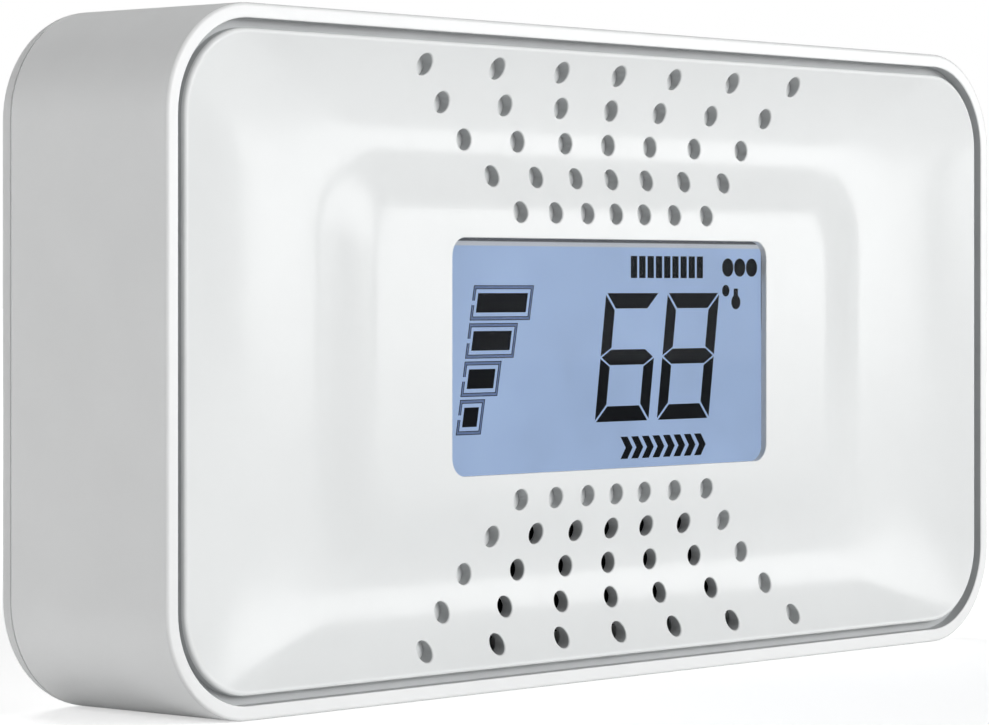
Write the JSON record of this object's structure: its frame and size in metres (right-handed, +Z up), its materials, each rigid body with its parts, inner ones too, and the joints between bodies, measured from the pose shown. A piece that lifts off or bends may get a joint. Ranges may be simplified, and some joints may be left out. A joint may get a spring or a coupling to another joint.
{
  "type": "carbon monoxide detector",
  "caption": "Slim rectangular table-top and wall carbon monoxide detector: framed dished front panel, vents, digital display, top test button, rear keyholes.",
  "frame": {"origin": "middle of the flat bottom that the detector stands on", "axes": "+Z up, the display faces -Y, +X to the right as seen from the front"},
  "size_m": [0.148, 0.0268, 0.075],
  "materials": {
    "case_white": "smooth moulded",
    "cover_white": "fine satin texture",
    "panel_white": "polished moulded",
    "window_clear": "clear",
    "polarizer_film": "clear film",
    "cell_glass": "clear",
    "segment_black": "matte",
    "segment_tint": "matte",
    "cell_blue": "lit blue",
    "reflector_film": "satin",
    "strip_rubber": "striped rubber",
    "light_guide": "frosted",
    "led_resin": "glossy",
    "frame_white": "matte",
    "board_green": "solder mask",
    "screw_steel": "zinc plated",
    "screen_black": "fine mesh",
    "foam_grey": "closed foam",
    "sensor_can": "satin",
    "sensor_cap": "matte",
    "gold_pin": "gold plated",
    "sounder_black": "matte",
    "sounder_brass": "satin",
    "ceramic_grey": "matte",
    "contact_metal": "plated",
    "cell_sleeve": "shrink sleeve",
    "cradle_grey": "matte",
    "nickel_strip": "nickel",
    "button_white": "satin",
    "spring_steel": "bright",
    "switch_black": "matte",
    "plunger_ivory": "matte",
    "slider_grey": "satin",
    "switch_steel": "folded sheet",
    "chip_black": "matte",
    "tinned_metal": "tinned",
    "capacitor_sleeve": "shrink sleeve",
    "coil_ferrite": "matte",
    "bead_brown": "dipped",
    "label_silver": "blank film"
  },
  "bodies": {
    "case": {"housing": "case_white", "rear_cover": "cover_white", "front_panel": "panel_white", "display_window": "window_clear", "display_polarizer": "polarizer_film", "display_front_glass": "cell_glass", "display_segments": "segment_black", "display_bar_frames": "segment_tint", "display_rear_glass": "cell_blue", "display_reflector": "reflector_film", "display_contact_strips": "strip_rubber", "backlight_guide": "light_guide", "backlight_leds": "led_resin", "display_frame": "frame_white", "circuit_board": "board_green", "board_screws": "screw_steel", "vent_dust_screen": "screen_black", "gas_duct_gasket": "foam_grey", "co_sensor_body": "sensor_can", "co_sensor_cap": "sensor_cap", "co_sensor_pins": "gold_pin", "sounder_shell": "sounder_black", "sounder_disc": "sounder_brass", "sounder_ceramic": "ceramic_grey", "sounder_contacts": "contact_metal", "sounder_lid": "sounder_black", "battery_cell": "cell_sleeve", "battery_cradle": "cradle_grey", "cradle_screws": "screw_steel", "battery_tab_positive": "nickel_strip", "battery_tab_negative": "nickel_strip", "button_spring": "spring_steel", "test_switch_body": "switch_black", "slide_switch_body": "switch_steel", "microcontroller": "chip_black", "microcontroller_leads": "tinned_metal", "storage_capacitors": "capacitor_sleeve", "step_up_coil": "coil_ferrite", "temperature_sensor": "bead_brown", "chip_resistors": "chip_black", "cover_screws": "screw_steel", "rating_label": "label_silver"},
    "test_button": {"test_button": "button_white"},
    "switch_plunger": {"test_switch_plunger": "plunger_ivory"},
    "activation_slider": {"activation_slider": "slider_grey"},
    "switch_lever": {"slide_switch_lever": "switch_black"}
  },
  "joints": [
    {"name": "test_button_press", "type": "slide", "parent": "case", "child": "test_button", "axis": [0, 0, -1], "range_m": [0, 0.001], "stiffness_N_per_m": 1500, "springref_m": -0.0005, "deforming": ["button_spring"]},
    {"name": "switch_plunger_press", "type": "slide", "parent": "case", "child": "switch_plunger", "axis": [0, 0, -1], "range_m": [0, 0.001]},
    {"name": "activation_slide", "type": "slide", "parent": "case", "child": "activation_slider", "axis": [1, 0, 0], "range_m": [0, 0.004]},
    {"name": "switch_lever_slide", "type": "slide", "parent": "case", "child": "switch_lever", "axis": [1, 0, 0], "range_m": [0, 0.004]}
  ],
  "couplings": [
    {"joint": "switch_plunger_press", "follows": "test_button_press", "ratio": 1},
    {"joint": "switch_lever_slide", "follows": "activation_slide", "ratio": 1}
  ]
}
